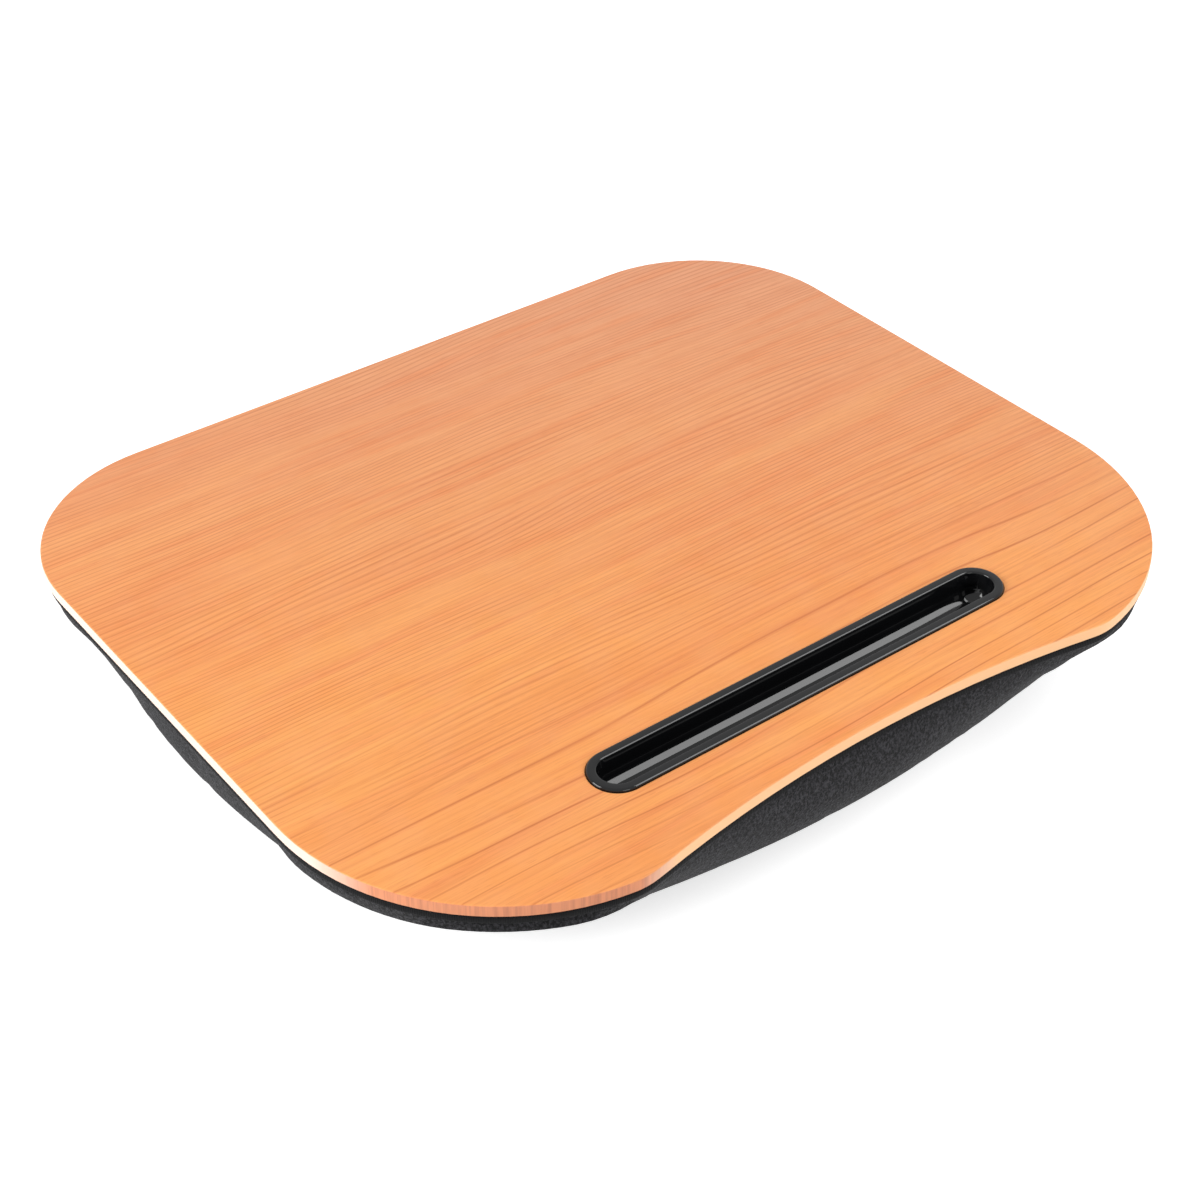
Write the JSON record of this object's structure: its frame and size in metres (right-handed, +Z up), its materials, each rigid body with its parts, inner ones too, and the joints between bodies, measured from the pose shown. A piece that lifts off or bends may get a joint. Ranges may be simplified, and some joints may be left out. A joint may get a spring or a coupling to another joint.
{
  "type": "lap desk",
  "caption": "Lap desk: wood-effect board with a pen tray on a zipped bead cushion, curved in at the front.",
  "frame": {"origin": "on the floor under the middle of the part's bounding box", "axes": "+X to the right along the long side, +Y from the user's belly to the back edge, +Z up"},
  "size_m": [0.45, 0.3764, 0.0664],
  "materials": {
    "wood_effect_foil": "satin",
    "fibreboard": "matte",
    "backing_paper": "matte",
    "black_styrene": "gloss",
    "fleece": "matte",
    "lining": "matte",
    "woven_tape": "matte",
    "sewing_thread": "satin",
    "hook_and_loop": "matte",
    "bag_cloth": "matte",
    "foam_beads": "matte",
    "nylon_teeth": "satin",
    "painted_zinc": "satin"
  },
  "bodies": {
    "cushion": {"cushion_base": "fleece", "cushion_top_panel": "lining", "edge_binding": "woven_tape", "binding_thread": "sewing_thread", "inner_bag": "bag_cloth", "bead_filling": "foam_beads", "loop_pads": "hook_and_loop", "zip_tapes": "woven_tape", "zip_teeth": "nylon_teeth", "zip_stops": "nylon_teeth"},
    "board": {"board_core": "fibreboard", "top_foil": "wood_effect_foil", "backing_foil": "backing_paper", "hook_pads": "hook_and_loop"},
    "pen_tray": {"pen_tray": "black_styrene"},
    "zip_slider": {"zip_slider": "painted_zinc"},
    "zip_pull": {"zip_pull": "painted_zinc"}
  },
  "joints": [
    {"name": "board_lift", "type": "slide", "parent": "cushion", "child": "board", "axis": [0, 0, 1], "range_m": [0, 0.06]},
    {"name": "pen_tray_lift", "type": "slide", "parent": "board", "child": "pen_tray", "axis": [0, 0, 1], "range_m": [0, 0.03]},
    {"name": "zip_slide", "type": "slide", "parent": "cushion", "child": "zip_slider", "axis": [-1, 0, 0], "range_m": [0, 0.244], "deforming": ["zip_teeth"]},
    {"name": "zip_pull_flip", "type": "hinge", "parent": "zip_slider", "child": "zip_pull", "pos_m": [0.1244, 0.18605, 0.0465], "axis": [0, 0, -1], "range_deg": [0, 180]}
  ]
}
